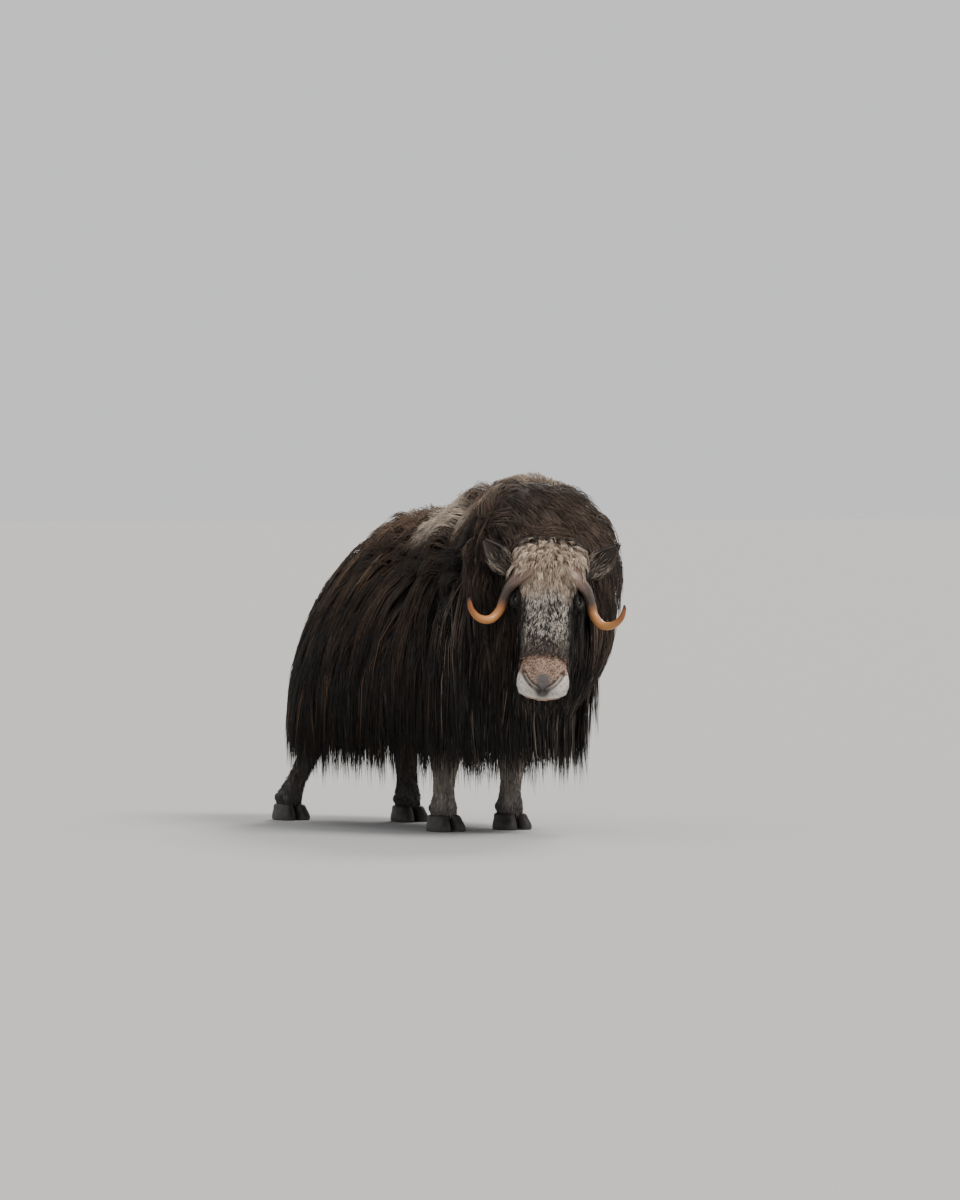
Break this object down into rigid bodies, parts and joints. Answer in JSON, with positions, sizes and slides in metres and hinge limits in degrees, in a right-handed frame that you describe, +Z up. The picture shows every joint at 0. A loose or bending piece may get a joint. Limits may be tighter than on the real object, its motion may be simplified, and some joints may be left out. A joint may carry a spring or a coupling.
{
  "type": "muskox",
  "caption": "Life-size still model of a walking muskox with a high shoulder hump, a long hanging coat, downturned horns and cloven hooves.",
  "frame": {"origin": "on the ground, under the middle of the whole animal seen from above", "axes": "+Z up, +Y towards the tail, so that the animal walks towards -Y, and +X to its left"},
  "size_m": [0.7682, 1.969, 1.3391],
  "materials": {
    "coat": "long, coarse, near-black hair with brown and cream on the back",
    "mane": "dense grey-brown hair",
    "face": "short hair, cream on the forehead and black on the cheeks",
    "ears": "short dark hair with a pale rim",
    "legs": "short grey-brown hair",
    "horn": "smooth keratin, cream to amber with a dark tip",
    "hoof": "dull dark keratin",
    "eye": "wet, very dark brown"
  },
  "bodies": {
    "root": {"hindquarters": "coat", "barrel": "coat", "shoulders": "coat", "neck": "mane", "head": "face", "eye_left": "eye", "horn_left": "horn", "ear_left": "ears", "eye_right": "eye", "horn_right": "horn", "ear_right": "ears", "tail": "coat", "leg_front_right": "legs", "toe_front_right_left": "hoof", "toe_front_right_right": "hoof", "leg_front_left": "legs", "toe_front_left_left": "hoof", "toe_front_left_right": "hoof", "leg_hind_right": "legs", "toe_hind_right_left": "hoof", "toe_hind_right_right": "hoof", "leg_hind_left": "legs", "toe_hind_left_left": "hoof", "toe_hind_left_right": "hoof"}
  },
  "joints": []
}
